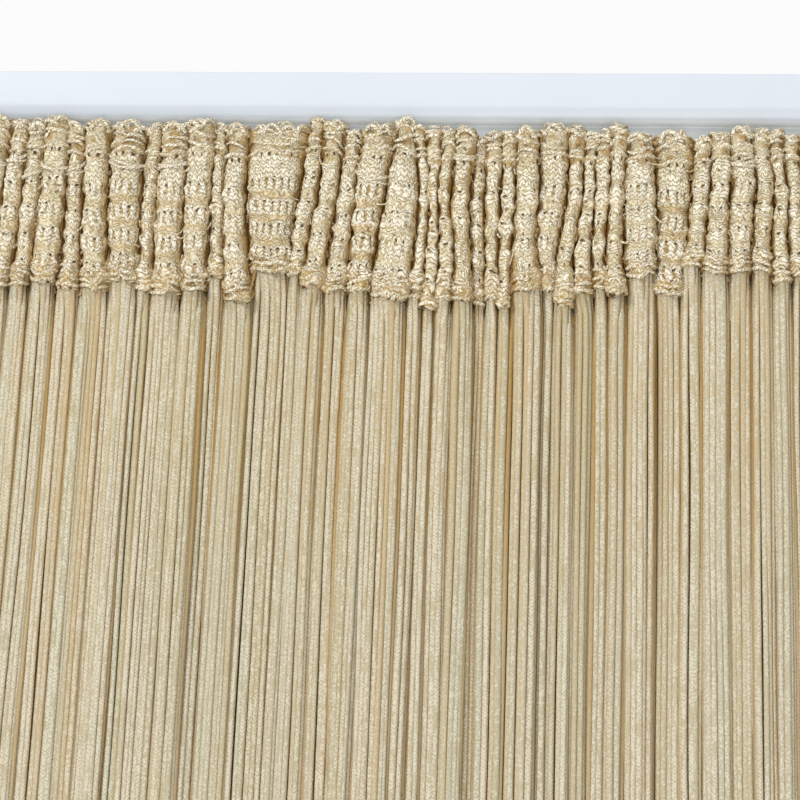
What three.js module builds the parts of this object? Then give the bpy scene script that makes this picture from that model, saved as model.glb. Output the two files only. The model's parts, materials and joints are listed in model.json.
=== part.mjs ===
// String door curtain on a plain rail: a knitted heading drawn up into uneven upright folds, a long
// fringe of strings that leaves its lower edge, and the slim rail that the heading hangs from.
// Millimetres, +Z up. The room side is -Y, and the origin is the centre of the rail's flat back face.
import * as THREE from "three";

// Driving dimensions
const HUNG_WIDTH = 900; // the gathered heading, end to end
const DROP = 2000; // from the heading's highest point to the strings' ends
const CLOTH = 1.3; // thickness of the knitted band
const FOLD_DEPTH = 9; // from a fold's front to the valley behind it, along the middle of the cloth
const FULL_DEPTH_WIDTH = 6.5; // a fold narrower than this has a shallower valley
const ROUND_WIDTH = 7.5; // a fold that passes this width has a flat front between its two rounded sides
const LEAST_FLAT = 0.1; // where such a fold is narrow, the share of its width that stays flat
const TURN_ANGLE = 1.75; // steepest angle of a fold's side, in radians: a little past straight back
const VALLEY_TOP_DROP = 1; // the cloth's top edge dips this much from a fold's front to the valley
const VALLEY_HEM_DROP = 2; // and the lower edge hangs this much lower in the valley
const SEAT_GAP = 0.3; // between touching pieces

const RAIL_LENGTH = 940;
const RAIL_HEIGHT = 20;
const RAIL_DEPTH = 16;
const LIP_HEIGHT = 4; // the lower part of the rail's front is set back by this step
const LIP_STEP = 1.5;
const WEB_FRONT = -10; // the thin web below the rail, which the back of the heading lies against
const WEB_THICKNESS = 3;
const WEB_HEIGHT = 16;

const STRAND_COUNT = 300;
const STRANDS_IN_LEAST_FOLD = 2;
const STRAND_WIDTH = 3.2; // each solid strand is a lock of about four real strings
const STRAND_THICKNESS = 1.1; // of a strand and of the strip that it leaves
const STRAND_END_SCALE = 0.8; // a strand's end against its root
const ROOT_STRIP_HEIGHT = 2;
const END_UNEVENNESS = 4; // the strings' ends differ by this much either way

// The folds of one third of the heading, from left to right. Widths are across the heading at its top
// edge, middle and lower edge; reach is how far the fold stands forward, as a share of the full depth;
// drop is how far its top edge, and hem how far its lower edge, lies below the heading's highest point.
const FOLD_COLUMNS = ["top", "middle", "bottom", "reach", "drop", "hem"];
const FOLD_ROWS = [
  [7.5, 7.5, 7.5, 0.95, 2.4, 70],
  [10.4, 10.7, 9.1, 1.0, 0.0, 69],
  [7.9, 7.0, 9.6, 0.9, 1.5, 71],
  [10.3, 9.9, 11.8, 1.0, 0.8, 72],
  [12.1, 13.5, 12.1, 0.95, 3.0, 68],
  [6.0, 6.3, 6.8, 0.85, 3.0, 71],
  [11.1, 11.2, 11.8, 1.0, 2.9, 73],
  [11.1, 10.3, 8.6, 1.05, 2.0, 72],
  [5.9, 5.8, 6.7, 0.85, 1.2, 66],
  [9.1, 9.1, 11.5, 1.0, 2.7, 76],
  [24.2, 19.3, 14.3, 0.95, 4.2, 64],
  [4.4, 7.0, 5.3, 1.0, 1.0, 65],
  [8.1, 7.7, 9.6, 1.05, 2.5, 69],
  [6.7, 7.8, 9.3, 0.9, 5.6, 71],
  [13.9, 10.9, 8.3, 1.0, 5.0, 72],
  [6.4, 13.2, 13.9, 1.05, 1.2, 75],
  [5.4, 4.4, 6.3, 0.95, 4.0, 74],
  [6.4, 4.4, 5.0, 0.95, 4.2, 78],
  [5.4, 5.0, 7.0, 1.0, 4.3, 74],
  [8.1, 6.7, 8.3, 1.0, 4.6, 74],
  [4.4, 6.0, 4.4, 0.7, 7.0, 75],
  [6.5, 5.5, 4.4, 1.0, 5.6, 74],
  [5.7, 5.6, 5.0, 1.0, 5.4, 77],
  [9.0, 9.0, 12.6, 1.05, 5.3, 71],
  [10.0, 10.5, 5.4, 0.85, 2.8, 69],
  [6.1, 5.9, 7.9, 1.0, 4.0, 76],
  [5.7, 5.6, 7.9, 0.95, 5.5, 71],
  [5.6, 5.5, 4.4, 1.0, 5.5, 69],
  [7.0, 6.5, 6.8, 1.05, 2.7, 71],
  [9.3, 12.8, 10.4, 1.0, 5.4, 64],
  [16.8, 12.2, 10.4, 0.8, 4.0, 71],
  [6.1, 7.5, 7.9, 0.95, 6.8, 60],
  [7.9, 7.5, 10.4, 1.05, 4.8, 63],
  [9.3, 9.5, 8.3, 1.0, 4.4, 62],
  [6.8, 7.0, 7.2, 0.95, 4.3, 61],
  [6.1, 5.7, 6.8, 1.0, 4.8, 65],
  [6.0, 6.0, 6.0, 0.9, 6.2, 62],
];
const LEVELS = ["top", "middle", "bottom"];
const HEM_SAMPLES = [0, 0.25, 0.5, 0.75, 1, 1.3]; // shares of the way to a strand's next edge, and past it

const underside = -RAIL_HEIGHT / 2;
const headingTop = underside - SEAT_GAP;
const backLine = WEB_FRONT - SEAT_GAP - CLOTH / 2; // middle of the cloth where a valley meets the web

const mix = (a, b, t) => a + (b - a) * t;

// The same value for the same index on every run, spread evenly from -1 to 1.
const spread = (index) => ((index * 0.6180339887 + 0.37) % 1) * 2 - 1;

// The middle third is the table as it stands, and the outer thirds mirror it.
function heldFolds() {
  const third = FOLD_ROWS.map((row) => Object.fromEntries(FOLD_COLUMNS.map((name, k) => [name, row[k]])));
  const mirrored = [...third].reverse();
  const folds = [...mirrored, ...third, ...mirrored].map((fold) => ({ ...fold }));
  for (const level of LEVELS) {
    const sum = folds.reduce((total, fold) => total + fold[level], 0);
    for (const fold of folds) fold[level] *= HUNG_WIDTH / sum;
  }
  return folds;
}

const isFlat = (fold) => LEVELS.some((level) => fold[level] > ROUND_WIDTH);

// Half of a fold, from the valley to the front, is a curve whose direction swings as a sine: the shape
// that gathered cloth takes. Gives its place across (x) and forward (y), each from 0 to 1, and its
// direction there.
function halfFold(share) {
  const steps = 60;
  const swing = (t) => TURN_ANGLE * Math.sin(Math.PI * t);
  let x = 0;
  let y = 0;
  let xAtShare = 0;
  let yAtShare = 0;
  for (let k = 0; k < steps; k++) {
    const t = (k + 0.5) / steps;
    const part = Math.max(0, Math.min(1, share * steps - k));
    xAtShare += Math.cos(swing(t)) * part;
    yAtShare += Math.sin(swing(t)) * part;
    x += Math.cos(swing(t));
    y += Math.sin(swing(t));
  }
  return {
    x: xAtShare / x,
    y: yAtShare / y,
    dx: (Math.cos(swing(share)) * steps) / x,
    dy: (Math.sin(swing(share)) * steps) / y,
  };
}

// What each fold measures at one level: where it starts, its front, and the valleys at its two sides.
function foldsAt(folds, level) {
  let start = -HUNG_WIDTH / 2;
  const fronts = folds.map((fold) => backLine - FOLD_DEPTH * fold.reach);
  const valley = (k) => {
    const beside = [folds[k - 1], folds[k]].filter(Boolean).map((fold) => fold[level]);
    const depth = FOLD_DEPTH * Math.min(1, Math.min(...beside) / FULL_DEPTH_WIDTH);
    const front = ((fronts[k - 1] ?? fronts[k]) + (fronts[k] ?? fronts[k - 1])) / 2;
    return Math.min(backLine, front + depth);
  };
  return folds.map((fold, k) => {
    const width = fold[level];
    const side = Math.min(width * (isFlat(fold) ? 1 - LEAST_FLAT : 1), ROUND_WIDTH) / 2;
    const here = { start, width, side, front: fronts[k], before: valley(k), after: valley(k + 1) };
    start += width;
    return here;
  });
}

// Point and sideways direction of the cloth's middle line on one fold. Share 0 is the valley before it,
// 0.5 the middle of its front and 1 the valley after it; flat is the share that its flat front takes.
function onFold(fold, share, flat) {
  const sideShare = (1 - flat) / 2;
  const flatWidth = fold.width - 2 * fold.side;
  if (share > sideShare && share < 1 - sideShare) {
    const across = (share - sideShare) / flat;
    return { x: fold.start + fold.side + flatWidth * across, y: fold.front, nx: 0, ny: -1 };
  }
  const rising = share <= sideShare;
  const valley = rising ? fold.before : fold.after;
  const at = halfFold(rising ? share / sideShare : (1 - share) / sideShare);
  const x = rising ? fold.start + fold.side * at.x : fold.start + fold.width - fold.side * at.x;
  const slope = new THREE.Vector2(fold.side * at.dx, (fold.front - valley) * at.dy * (rising ? 1 : -1));
  slope.normalize();
  return { x, y: mix(valley, fold.front, at.y), nx: slope.y, ny: -slope.x };
}

// Length of cloth in each fold at mid-height, and the part of it in the flat front.
function clothLengths(middleFolds) {
  return middleFolds.map((fold) => {
    const flatWidth = fold.width - 2 * fold.side;
    const line = [];
    const steps = 24;
    for (let k = 0; k <= steps; k++) {
      const at = halfFold(k / steps);
      line.push(new THREE.Vector2(fold.side * at.x, (fold.front - (fold.before + fold.after) / 2) * at.y));
    }
    const half = line.slice(1).reduce((sum, point, k) => sum + point.distanceTo(line[k]), 0);
    return { length: 2 * half + flatWidth, flat: flatWidth / (2 * half + flatWidth) };
  });
}

// Height of an edge of the heading, from a fold's own value along its flat front to the mean with its
// neighbour's in the valley, where the edge is lower by a set drop.
function edgeHeight(folds, k, share, flat, name, valleyDrop) {
  const own = folds[k][name];
  const beside = (folds[share < 0.5 ? k - 1 : k + 1] ?? folds[k])[name];
  const towardsValley = Math.max(0, (Math.abs(share - 0.5) * 2 - flat) / (1 - flat));
  return headingTop - mix(own, (own + beside) / 2 + valleyDrop, towardsValley);
}

// Where along the heading a stretch of cloth length falls: which fold, and the share within it.
function foldAtLength(cloth, length) {
  let left = length;
  for (let k = 0; k < cloth.length; k++) {
    const share = left / cloth[k].length;
    if (share <= 1 || k === cloth.length - 1) return { k, share: Math.min(1, share) };
    left -= cloth[k].length;
  }
}

function closedMesh(name, positions, triangles, material) {
  const geometry = new THREE.BufferGeometry();
  geometry.setAttribute("position", new THREE.Float32BufferAttribute(positions, 3));
  geometry.setIndex(triangles);
  geometry.computeVertexNormals();
  const mesh = new THREE.Mesh(geometry, material);
  mesh.name = name;
  return mesh;
}

// Faces between two rings of corners: the one that starts at index a and the one that starts at b.
function joinRings(triangles, a, b, corners) {
  for (let c = 0; c < corners.length; c++) {
    const d = (c + 1) % corners.length;
    const [p, q, r, s] = [a + corners[c], a + corners[d], b + corners[c], b + corners[d]];
    triangles.push(p, q, r, q, s, r);
  }
}

// The heading: the folded band, one sheet of even thickness, from its top edge to its lower edge.
function heading(folds, levels, cloth) {
  const columns = [];
  folds.forEach((fold, k) => {
    const { flat } = cloth[k];
    const sideShare = (1 - flat) / 2;
    const stops = [0, 0.35 * sideShare, 0.7 * sideShare, sideShare];
    if (flat > 0.01) stops.push(1 - sideShare);
    stops.push(1 - 0.7 * sideShare, 1 - 0.35 * sideShare);
    for (const share of stops) columns.push({ k, share });
  });
  columns.push({ k: folds.length - 1, share: 1 });

  const positions = [];
  for (const { k, share } of columns) {
    const top = edgeHeight(folds, k, share, cloth[k].flat, "drop", VALLEY_TOP_DROP);
    const bottom = edgeHeight(folds, k, share, cloth[k].flat, "hem", VALLEY_HEM_DROP);
    const heights = [top, (top + bottom) / 2, bottom];
    const onLevel = (level) => onFold(levels[level][k], share, cloth[k].flat);
    const points = LEVELS.map((level, row) => ({ ...onLevel(level), z: heights[row] }));
    const ring = [
      ...points.map((point) => ({ ...point, side: 1 })),
      ...[...points].reverse().map((point) => ({ ...point, side: -1 })),
    ];
    for (const { x, y, nx, ny, z, side } of ring) {
      positions.push(x + (side * nx * CLOTH) / 2, y + (side * ny * CLOTH) / 2, z);
    }
  }
  const ringSize = 2 * LEVELS.length;
  const corners = [...Array(ringSize).keys()];
  const triangles = [];
  for (let c = 0; c + 1 < columns.length; c++) {
    joinRings(triangles, c * ringSize, (c + 1) * ringSize, corners);
  }
  const lastRing = (columns.length - 1) * ringSize;
  for (let row = 0; row + 1 < LEVELS.length; row++) {
    const [front, frontBelow] = [row, row + 1];
    const [back, backBelow] = [ringSize - 1 - row, ringSize - 2 - row];
    triangles.push(front, back, frontBelow, frontBelow, back, backBelow);
    triangles.push(lastRing + front, lastRing + frontBelow, lastRing + back);
    triangles.push(lastRing + frontBelow, lastRing + backBelow, lastRing + back);
  }
  const knit = new THREE.MeshStandardMaterial({ color: 0xd9c9a0, roughness: 0.6, metalness: 0 });
  return closedMesh("heading", positions, triangles, knit);
}

// How many strands each fold gets: the least number, and more by the length of cloth that it has past
// the shortest. One strand is kept back for the far end.
function strandsPerFold(cloth) {
  const shortest = Math.min(...cloth.map((fold) => fold.length));
  const spare = cloth.map((fold) => fold.length - shortest);
  const spareStrands = STRAND_COUNT - 1 - STRANDS_IN_LEAST_FOLD * cloth.length;
  const whole = spare.reduce((sum, length) => sum + length, 0);
  let passed = 0;
  return spare.map((length) => {
    const before = Math.round((spareStrands * passed) / whole);
    passed += length;
    return STRANDS_IN_LEAST_FOLD + Math.round((spareStrands * passed) / whole) - before;
  });
}

// The strings: a narrow strip just below the heading's lower edge, which follows its folds, and the
// strands that hang from it. Along the strip a strand and a gap take turns, and each fold starts with a
// strand in its valley.
function strings(folds, bottomFolds, cloth) {
  const stops = [];
  let foldStart = 0;
  strandsPerFold(cloth).forEach((count, k) => {
    for (let n = 0; n < count; n++) {
      const centre = Math.max(STRAND_WIDTH / 2, foldStart + (n / count) * cloth[k].length);
      stops.push(centre - STRAND_WIDTH / 2, centre + STRAND_WIDTH / 2);
    }
    foldStart += cloth[k].length;
  });
  stops.push(foldStart - STRAND_WIDTH, foldStart);

  const hemAt = (length) => {
    const { k, share } = foldAtLength(cloth, Math.max(0, length));
    return edgeHeight(folds, k, share, cloth[k].flat, "hem", VALLEY_HEM_DROP);
  };
  const lowestHemAround = (c) => {
    const towards = [stops[Math.max(0, c - 1)], stops[Math.min(stops.length - 1, c + 1)]];
    return Math.min(...towards.flatMap((stop) => HEM_SAMPLES.map((t) => hemAt(mix(stops[c], stop, t)))));
  };
  const positions = [];
  const centres = [];
  for (let c = 0; c < stops.length; c++) {
    const { k, share } = foldAtLength(cloth, stops[c]);
    const { x, y, nx, ny } = onFold(bottomFolds[k], share, cloth[k].flat);
    const top = lowestHemAround(c) - SEAT_GAP;
    const low = top - ROOT_STRIP_HEIGHT;
    centres.push({ x, y });
    for (const [side, z] of [[1, top], [1, low], [-1, low], [-1, top]]) {
      positions.push(x + (side * nx * STRAND_THICKNESS) / 2, y + (side * ny * STRAND_THICKNESS) / 2, z);
    }
  }
  const [frontTop, frontLow, backLow, backTop] = [0, 1, 2, 3];
  const triangles = [];
  for (let c = 0; c + 1 < stops.length; c++) {
    const [a, b] = [4 * c, 4 * (c + 1)];
    for (const [from, to] of [[frontTop, frontLow], [backLow, backTop], [backTop, frontTop]]) {
      triangles.push(a + from, a + to, b + from, a + to, b + to, b + from);
    }
    const isGap = c % 2 === 1;
    if (isGap) {
      triangles.push(a + frontLow, a + backLow, b + frontLow, a + backLow, b + backLow, b + frontLow);
      continue;
    }
    const root = [a + frontLow, a + backLow, b + backLow, b + frontLow];
    const end = positions.length / 3;
    const middleX = mix(centres[c].x, centres[c + 1].x, 0.5);
    const middleY = mix(centres[c].y, centres[c + 1].y, 0.5);
    const endHeight = headingTop - DROP + spread(c) * END_UNEVENNESS;
    for (const corner of root) {
      const [x, y] = [positions[3 * corner], positions[3 * corner + 1]];
      positions.push(mix(middleX, x, STRAND_END_SCALE), mix(middleY, y, STRAND_END_SCALE), endHeight);
    }
    for (let side = 0; side < 4; side++) {
      const next = (side + 1) % 4;
      triangles.push(root[side], end + next, end + side, root[side], root[next], end + next);
    }
    triangles.push(end, end + 1, end + 2, end, end + 2, end + 3);
  }
  const last = 4 * (stops.length - 1);
  triangles.push(frontTop, backTop, frontLow, frontLow, backTop, backLow);
  triangles.push(last + frontTop, last + frontLow, last + backTop);
  triangles.push(last + frontLow, last + backLow, last + backTop);
  const yarn = new THREE.MeshStandardMaterial({ color: 0xcdbd93, roughness: 0.55, metalness: 0 });
  return closedMesh("strings", positions, triangles, yarn);
}

// The rail: one plain profile, its front stepped back a little at the foot, with a thin web below it.
function rail() {
  const [top, bottom] = [RAIL_HEIGHT / 2, -RAIL_HEIGHT / 2];
  const webBack = WEB_FRONT + WEB_THICKNESS;
  const section = new THREE.Shape([
    new THREE.Vector2(0, top),
    new THREE.Vector2(-RAIL_DEPTH, top),
    new THREE.Vector2(-RAIL_DEPTH, bottom + LIP_HEIGHT + LIP_STEP),
    new THREE.Vector2(-RAIL_DEPTH + LIP_STEP, bottom + LIP_HEIGHT),
    new THREE.Vector2(-RAIL_DEPTH + LIP_STEP, bottom),
    new THREE.Vector2(WEB_FRONT, bottom),
    new THREE.Vector2(WEB_FRONT, bottom - WEB_HEIGHT),
    new THREE.Vector2(webBack, bottom - WEB_HEIGHT),
    new THREE.Vector2(webBack, bottom),
    new THREE.Vector2(0, bottom),
  ]);
  const geometry = new THREE.ExtrudeGeometry(section, { depth: RAIL_LENGTH, bevelEnabled: false });
  const lengthwise = new THREE.Matrix4().makeBasis(
    new THREE.Vector3(0, 1, 0),
    new THREE.Vector3(0, 0, 1),
    new THREE.Vector3(1, 0, 0),
  );
  const white = new THREE.MeshStandardMaterial({ color: 0xe7eff5, roughness: 0.35, metalness: 0 });
  const mesh = new THREE.Mesh(geometry, white);
  mesh.name = "rail";
  mesh.setRotationFromMatrix(lengthwise);
  mesh.position.x = -RAIL_LENGTH / 2;
  return mesh;
}

const folds = heldFolds();
const levels = Object.fromEntries(LEVELS.map((level) => [level, foldsAt(folds, level)]));
const cloth = clothLengths(levels.middle);

const curtain = new THREE.Group();
curtain.add(rail(), heading(folds, levels, cloth), strings(folds, levels.bottom, cloth));

export default curtain;
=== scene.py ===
"""String door curtain on a plain rail.

A knitted heading is drawn up into uneven upright folds under a slim white rail, and a long fringe of
braided strings leaves its lower edge. Sizes are in millimetres and become metres in the meshes.
"""
import json

import bpy
import numpy as np
from mathutils import Matrix, Vector

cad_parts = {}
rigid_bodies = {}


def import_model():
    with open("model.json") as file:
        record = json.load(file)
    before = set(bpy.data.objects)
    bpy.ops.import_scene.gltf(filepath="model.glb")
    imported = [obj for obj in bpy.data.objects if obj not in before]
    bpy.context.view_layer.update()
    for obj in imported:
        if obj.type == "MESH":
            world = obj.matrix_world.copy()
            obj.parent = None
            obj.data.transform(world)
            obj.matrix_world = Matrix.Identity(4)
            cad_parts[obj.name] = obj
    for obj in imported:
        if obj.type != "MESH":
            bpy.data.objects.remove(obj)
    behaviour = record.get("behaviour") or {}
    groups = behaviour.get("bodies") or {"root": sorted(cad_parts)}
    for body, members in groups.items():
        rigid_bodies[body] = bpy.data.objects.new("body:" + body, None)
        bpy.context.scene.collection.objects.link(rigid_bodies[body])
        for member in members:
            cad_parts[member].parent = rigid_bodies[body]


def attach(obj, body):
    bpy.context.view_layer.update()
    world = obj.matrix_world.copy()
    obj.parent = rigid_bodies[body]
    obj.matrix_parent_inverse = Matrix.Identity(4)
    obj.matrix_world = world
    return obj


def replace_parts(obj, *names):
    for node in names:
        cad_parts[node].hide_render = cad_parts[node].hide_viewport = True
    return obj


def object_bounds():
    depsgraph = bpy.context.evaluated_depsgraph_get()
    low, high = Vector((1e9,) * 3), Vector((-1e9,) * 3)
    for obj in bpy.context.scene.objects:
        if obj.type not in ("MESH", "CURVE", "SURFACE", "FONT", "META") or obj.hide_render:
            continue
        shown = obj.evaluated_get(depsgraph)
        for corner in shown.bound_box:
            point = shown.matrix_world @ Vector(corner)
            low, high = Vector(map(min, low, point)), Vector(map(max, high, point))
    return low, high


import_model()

CAD_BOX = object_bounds()
BODY = "root"
MM = 0.001

# Sizes the solids share
HUNG_WIDTH = 900.0
DROP = 2000.0
CLOTH = 1.3
FOLD_DEPTH = 9.0
FULL_DEPTH_WIDTH = 6.5
ROUND_WIDTH = 7.5
LEAST_FLAT = 0.1
TURN_ANGLE = 1.75
VALLEY_TOP_DROP = 1.0
VALLEY_HEM_DROP = 2.0
CURVE_STEPS = 240
SEAT_GAP = 0.3
RAIL_LENGTH = 940.0
RAIL_HEIGHT = 20.0
RAIL_DEPTH = 16.0
LIP_HEIGHT = 4.0
LIP_STEP = 1.5
WEB_FRONT = -10.0
WEB_THICKNESS = 3.0
WEB_HEIGHT = 16.0

EASED = 0.7  # how far a plain corner of the rail is rounded
RAIL_END = ((0.0, 0.4), (0.12, 0.12), (0.4, 0.0))  # how far from its end, and how far drawn in there

# The solids' folds in one third of the heading: widths at the top edge, middle and lower edge, reach
# forward as a share of the full depth, and how far the top edge and the lower edge lie below the
# heading's highest point. Some of the top edges are set a little lower here.
FOLD_ROWS = np.array([
    # top, middle, bottom, reach, drop, hem
    (7.5, 7.5, 7.5, 0.95, 2.4, 70),
    (10.4, 10.7, 9.1, 1.0, 1.0, 69),
    (7.9, 7.0, 9.6, 0.9, 3.6, 71),
    (10.3, 9.9, 11.8, 1.0, 3.0, 72),
    (12.1, 13.5, 12.1, 0.95, 3.5, 68),
    (6.0, 6.3, 6.8, 0.85, 3.6, 71),
    (11.1, 11.2, 11.8, 1.0, 3.4, 73),
    (11.1, 10.3, 8.6, 1.05, 2.6, 72),
    (5.9, 5.8, 6.7, 0.85, 2.8, 66),
    (9.1, 9.1, 11.5, 1.0, 4.2, 76),
    (24.2, 19.3, 14.3, 0.95, 4.2, 64),
    (4.4, 7.0, 5.3, 1.0, 1.0, 65),
    (8.1, 7.7, 9.6, 1.05, 2.5, 69),
    (6.7, 7.8, 9.3, 0.9, 5.6, 71),
    (13.9, 10.9, 8.3, 1.0, 4.1, 72),
    (6.4, 13.2, 13.9, 1.05, 1.2, 75),
    (5.4, 4.4, 6.3, 0.95, 4.0, 74),
    (6.4, 4.4, 5.0, 0.95, 4.2, 78),
    (5.4, 5.0, 7.0, 1.0, 4.3, 74),
    (8.1, 6.7, 8.3, 1.0, 4.6, 74),
    (4.4, 6.0, 4.4, 0.7, 7.0, 75),
    (6.5, 5.5, 4.4, 1.0, 5.6, 74),
    (5.7, 5.6, 5.0, 1.0, 5.4, 77),
    (9.0, 9.0, 12.6, 1.05, 5.3, 71),
    (10.0, 10.5, 5.4, 0.85, 2.8, 69),
    (6.1, 5.9, 7.9, 1.0, 4.0, 76),
    (5.7, 5.6, 7.9, 0.95, 5.5, 71),
    (5.6, 5.5, 4.4, 1.0, 5.5, 69),
    (7.0, 6.5, 6.8, 1.05, 2.7, 71),
    (9.3, 12.8, 10.4, 1.0, 6.1, 64),
    (16.8, 12.2, 10.4, 0.8, 5.8, 71),
    (6.1, 7.5, 7.9, 0.95, 7.6, 60),
    (7.9, 7.5, 10.4, 1.05, 5.9, 63),
    (9.3, 9.5, 8.3, 1.0, 4.8, 62),
    (6.8, 7.0, 7.2, 0.95, 4.3, 61),
    (6.1, 5.7, 6.8, 1.0, 4.8, 65),
    (6.0, 6.0, 6.0, 0.9, 6.2, 62),
])

HEADING_TOP = -RAIL_HEIGHT / 2 - SEAT_GAP
BACK_LINE = WEB_FRONT - SEAT_GAP - CLOTH / 2

# The knit
WALE_PITCH = 2.8  # one column of stitches to each of these along the flat cloth
FRONT_STEP, VALLEY_STEP = 0.61, 1.6  # spacing of points along the cloth, at the fronts and in the valleys
BAND_ROWS, BACK_ROW_STEP = 67, 22  # rows of points down the front, and from one row of the back to the next
STITCH = 1.7  # height of a stitch
LEG_WIDTH = WALE_PITCH / 3  # of a stitch's slanted legs
WEFT_PITCH, WEFT_SPAN = 1.45, 3.1  # height and length of a crosswise strand
ROW_SPAN = 58.0  # the rows below are measured on a band this tall, and scale with the band
HOLE_ROW = 10.7  # the first row of small holes
BAR_START, BAR_REPEAT, BAR_SHARE = 20.5, 9.2, 0.5  # raised bars and sunken bands take turns from here down
BAR_MIDDLE, SUNK_MIDDLE = 0.24, 0.72  # their middles, as shares of the repeat
HEM_START = 49.0  # the lower edge's thick roll
HEM_SWELL, HEM_DRAWN_IN = 0.8, 1.1  # how far it stands out, and goes back at its foot
RIB = 0.3  # how far a column stands proud of its groove
BAND_SINK = 0.4  # how far a sunken band lies back
BULGE = 0.1  # how far a fold swells at each row of bars
LUMP = 0.62  # height of the lumps in the knit
TOP_DOME, HEM_DOME = 0.8, 3.2  # how far the middle of a fold's end stands out beyond its flanks
NECK, NECK_POWER = 1.1, 2.2  # how near a fold's sides come to its valley's middle, and the greatest power
BOW_LEAST, BOW_SHARE, BOW_MOST = 0.5, 0.2, 3.4  # how far a fold's front is bowed, by its width
TOP_LOWERED = 3.3  # the looped edge adds this much above the knit
RAGGED = 1.4  # how uneven the lower edge is from stitch to stitch
SWAY = 1.0  # how far the folds wander sideways on their way down
LEAN = 2.7  # how far a fold's two ends are set off to opposite sides
# Rows of loops along the top edge: columns from one to the next, span in columns, least and greatest
# height, how far below the edge they start, how far out from the cloth, and least and greatest radius
TOP_LOOPS = (
    (1.0, 2.1, 1.0, 3.2, 0.6, 0.2, 0.4, 0.62),
    (2.0, 2.4, 2.4, 4.8, 2.6, 1.0, 0.7, 1.0),
)
# Thick crosswise yarns on the knit: place below the top, radius, and how far they wander up and down
UPPER_ROPES = ((2.2, 0.75, 2.2), (5.4, 0.7, 2.8), (8.8, 0.8, 1.8))
LOWER_ROPES = ((51.0, 0.65, 1.5), (54.0, 0.8, 1.3), (56.8, 0.8, 0.8))
YARN_SIDES = 4
ROPE_STEPS, LOOP_STEPS, FLOAT_STEPS, SWAG_STEPS = 1900, 7, 6, 12  # points along one yarn
FLOATS = 10  # loose yarns across each valley
SWAG_LEAST_WIDTH, SWAG_SHARE = 7.2, 0.6  # folds broader than this may carry slack yarns, and so many do

# The strings
STRING_PITCH = 2.15
STRING_WIDTH = 2.3
STRING_THICKNESS = 1.15
STRING_SIDES = 5
BAND_PITCH = 1.85  # spacing of the strings that lie side by side in front of a fold
UNEVEN = 0.25  # how far a string lies out of line with its neighbours, sideways and forward
BAND_MARGIN = 1.45  # part of a fold's width that its front strings leave open
BACK_SPACING = 2.4  # spacing of the strings at the back of a fold
PAIR_SHIFT = 0.16  # strings in front stand in pairs, each this much nearer to the other
SETTLE_BY, BACK_SETTLE_BY = 13.0, 5.0  # how far down the strings have found their places
NEAR_LENGTH, NEAR_POINTS, FAR_POINTS = 235.0, 14, 6  # many points near the heading, few below
HEADING_HEIGHT = 70.0
CHAIN_STITCH = 1.35
FADE_START, FADE_END = 35.0, 140.0  # the painted shade among the strings weakens between these places
END_UNEVENNESS = 4.0

# The view
SURROUND_FRONT, SURROUND_BACK = 0.62, 0.97  # brightness of the surround before and behind the curtain
PIXELS = 800
FOCAL_PIXELS = 2300.0
VIEW_DISTANCE = 860.0
VIEW_PITCH, VIEW_YAW, VIEW_ROLL = 17.0, 4.6, 2.2
AIM_POINT = (0.0, -18.0, -114.0)
AIM_PIXEL = (400.0, 373.0)


def ease(t):
    """Smooth step: 3 t squared minus 2 t cubed, with t held between 0 and 1."""
    t = np.clip(t, 0, 1)
    return t * t * (3 - 2 * t)


def drift(a, b, seed):
    """Smooth noise from -1 to 1 at (a, b): random values on a unit grid, blended with the smooth step."""
    grid = np.random.default_rng(seed).uniform(-1, 1, (257, 257))
    a, b = np.broadcast_arrays(np.asarray(a, float), np.asarray(b, float))
    i, j = np.floor(a).astype(int), np.floor(b).astype(int)
    s, t = ease(a - i), ease(b - j)
    i0, i1, j0, j1 = i % 256, (i + 1) % 256, j % 256, (j + 1) % 256
    low = grid[i0, j0] * (1 - s) + grid[i1, j0] * s
    high = grid[i0, j1] * (1 - s) + grid[i1, j1] * s
    return low * (1 - t) + high * t


def unit(vectors):
    """The vectors, made one long."""
    return vectors / np.linalg.norm(vectors, axis=-1, keepdims=True)


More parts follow.
